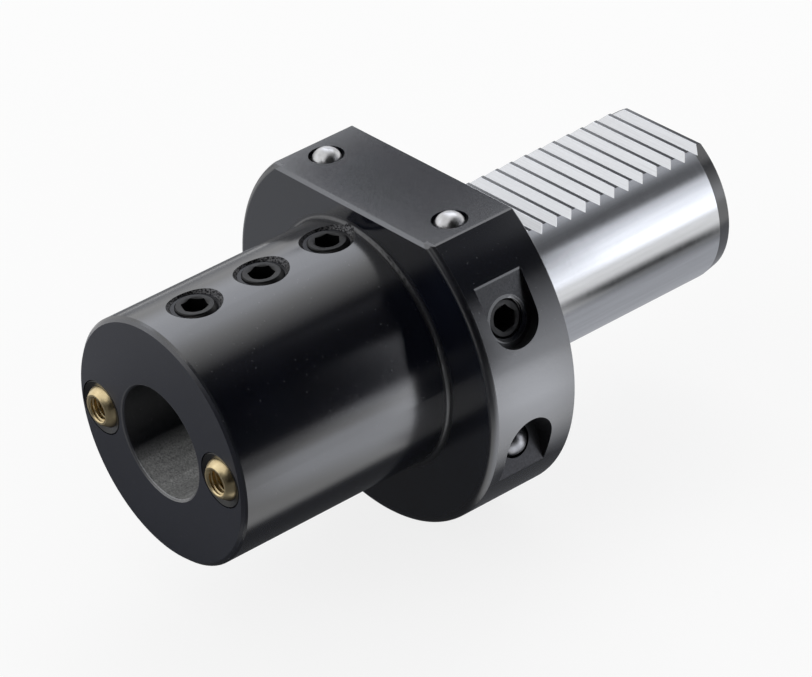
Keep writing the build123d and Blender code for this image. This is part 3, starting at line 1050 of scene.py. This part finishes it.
class HOLDER_OT_stage(bpy.types.Operator):
    """Sets the world, the floor, the lamps, the cards and the camera"""

    bl_idname = "holder.stage"
    bl_label = "Set Stage"

    def execute(self, context):
        self.world(context.scene)
        self.floor(context.scene.holder_colours)
        self.lamp("key", (-0.54, 0.53, 0.65), 0.9, 5.0)
        self.lamp("fill", (-0.3, -0.95, 0.4), 0.5, 3.0)
        for card in CARDS:
            self.card(*card)
        self.camera(context.scene)
        return {"FINISHED"}

    def world(self, scene):
        """Sets the pale sky, which is white where it is seen."""
        world = bpy.data.worlds.new("studio")
        scene.world = world
        world.use_nodes = True
        tree = world.node_tree
        sky = tree.nodes["Background"]
        sky.inputs["Color"].default_value = (1, 1, 1, 1)
        mix = tree.nodes.new("ShaderNodeMix")
        tree.links.new(seen_share(tree), mix.inputs["Factor"])
        mix.inputs[2].default_value = SKY_LIGHT
        mix.inputs[3].default_value = 1.0
        tree.links.new(mix.outputs[0], sky.inputs["Strength"])

    def floor(self, colours):
        """Lays the floor under the flange. Part of it glows, so that it looks nearly white."""
        clear_selection()
        bpy.ops.mesh.primitive_plane_add(size=8, location=(0, 0, -FLANGE_R))
        floor = new_piece("studio_floor")
        material = bpy.data.materials.new("pale_floor")
        material.use_nodes = True
        tree = material.node_tree
        shader = tree.nodes["Principled BSDF"]
        shader.inputs["Base Color"].default_value = (*colours.floor, 1)
        shader.inputs["Roughness"].default_value = 0.9
        glow = tree.nodes.new("ShaderNodeEmission")
        mix = tree.nodes.new("ShaderNodeMixShader")
        share = tree.nodes.new("ShaderNodeMath")
        share.operation = "MULTIPLY"
        tree.links.new(seen_share(tree), share.inputs[0])
        share.inputs[1].default_value = FLOOR_GLOW
        tree.links.new(share.outputs[0], mix.inputs[0])
        tree.links.new(shader.outputs[0], mix.inputs[1])
        tree.links.new(glow.outputs[0], mix.inputs[2])
        tree.links.new(mix.outputs[0], tree.nodes["Material Output"].inputs[0])
        floor.data.materials.append(material)

    def lamp(self, name, place, size, watts):
        """Soft square lamp that faces the holder and gives no highlight of its own."""
        data = bpy.data.lights.new(name, "AREA")
        data.shape = "SQUARE"
        data.size = size
        data.energy = watts
        lamp = bpy.data.objects.new(name, data)
        lamp.visible_glossy = False
        bpy.context.scene.collection.objects.link(lamp)
        aim(lamp, place, (0, 0, 0))

    def card(self, name, centre, side, rise, level, soft):
        """Card that only shows in reflections, with two half sides from its centre and soft edges."""
        clear_selection()
        bpy.ops.mesh.primitive_plane_add(size=2)
        card = new_piece(name)
        side, rise = Vector(side), Vector(rise)
        columns = Matrix((side, rise, side.cross(rise).normalized())).transposed()
        card.data.transform(Matrix.Translation(centre) @ columns.to_4x4())
        material = bpy.data.materials.new(name)
        material.use_nodes = True
        material.cycles.emission_sampling = "NONE"
        shader = material.node_tree.nodes["Principled BSDF"]
        shader.inputs["Base Color"].default_value = (0, 0, 0, 1)
        shader.inputs["Specular IOR Level"].default_value = 0
        shader.inputs["Emission Color"].default_value = CARD_TINT
        shader.inputs["Emission Strength"].default_value = level
        if any(soft):
            self.fade(material.node_tree, shader, soft)
        card.data.materials.append(material)
        card.visible_camera = False
        card.visible_diffuse = False
        card.visible_shadow = False
        card.visible_transmission = False

    def fade(self, tree, shader, soft):
        """Lets a card's edges fade out over these shares of its width and height."""
        place = tree.nodes.new("ShaderNodeTexCoord")
        parts = tree.nodes.new("ShaderNodeSeparateXYZ")
        tree.links.new(place.outputs["UV"], parts.inputs[0])
        product = tree.nodes.new("ShaderNodeMath")
        product.operation = "MULTIPLY"
        for axis in (0, 1):
            mirror = tree.nodes.new("ShaderNodeMath")
            mirror.operation = "PINGPONG"
            mirror.inputs[1].default_value = 0.5
            tree.links.new(parts.outputs[axis], mirror.inputs[0])
            ramp = tree.nodes.new("ShaderNodeMapRange")
            ramp.inputs["From Max"].default_value = max(soft[axis], 0.001)
            tree.links.new(mirror.outputs[0], ramp.inputs["Value"])
            tree.links.new(ramp.outputs[0], product.inputs[axis])
        tree.links.new(product.outputs[0], shader.inputs["Alpha"])

    def camera(self, scene):
        """Sets the photo's long lens and view."""
        data = bpy.data.cameras.new("camera")
        data.sensor_width = 36
        data.lens = 213.478
        data.clip_start, data.clip_end = 0.05, 20
        camera = bpy.data.objects.new("camera", data)
        scene.collection.objects.link(camera)
        place = (0.6927486, -0.5206337, 0.5145179)
        target = (-0.0023149, -0.0093316, -0.0060745)
        roll = radians(-5.977647)
        aim(camera, place, target, roll)
        scene.camera = camera
        scene.view_settings.view_transform = "Standard"


STEPS = (
    HOLDER_OT_body,
    HOLDER_OT_clamp_screws,
    HOLDER_OT_tapped_holes,
    HOLDER_OT_stop_screw,
    HOLDER_OT_plug_screw,
    HOLDER_OT_nozzle_balls,
    HOLDER_OT_small_parts,
    HOLDER_OT_stage,
)


class HOLDER_PT_panel(bpy.types.Panel):
    """Lists the holder's sizes, colours and steps"""

    bl_label = "Boring Bar Holder"
    bl_space_type = "VIEW_3D"
    bl_region_type = "UI"
    bl_category = "Holder"

    def draw(self, context):
        for group in (context.scene.holder_sizes, context.scene.holder_colours):
            box = self.layout.box()
            for name in group.bl_rna.properties.keys():
                if name not in ("rna_type", "name"):
                    box.prop(group, name)
        for step in STEPS:
            self.layout.operator(step.bl_idname)


CLASSES = (HolderSizes, HolderColours, *STEPS, HOLDER_PT_panel)


def register():
    for item in CLASSES:
        bpy.utils.register_class(item)
    bpy.types.Scene.holder_sizes = bpy.props.PointerProperty(type=HolderSizes)
    bpy.types.Scene.holder_colours = bpy.props.PointerProperty(type=HolderColours)


def unregister():
    del bpy.types.Scene.holder_sizes
    del bpy.types.Scene.holder_colours
    for item in reversed(CLASSES):
        bpy.utils.unregister_class(item)


def main():
    register()
    bpy.ops.holder.body()
    bpy.ops.holder.clamp_screws()
    bpy.ops.holder.tapped_holes()
    bpy.ops.holder.stop_screw()
    bpy.ops.holder.plug_screw()
    bpy.ops.holder.nozzle_balls()
    bpy.ops.holder.small_parts()
    bpy.ops.holder.stage()
    clear_selection()


if __name__ == "__main__":
    main()
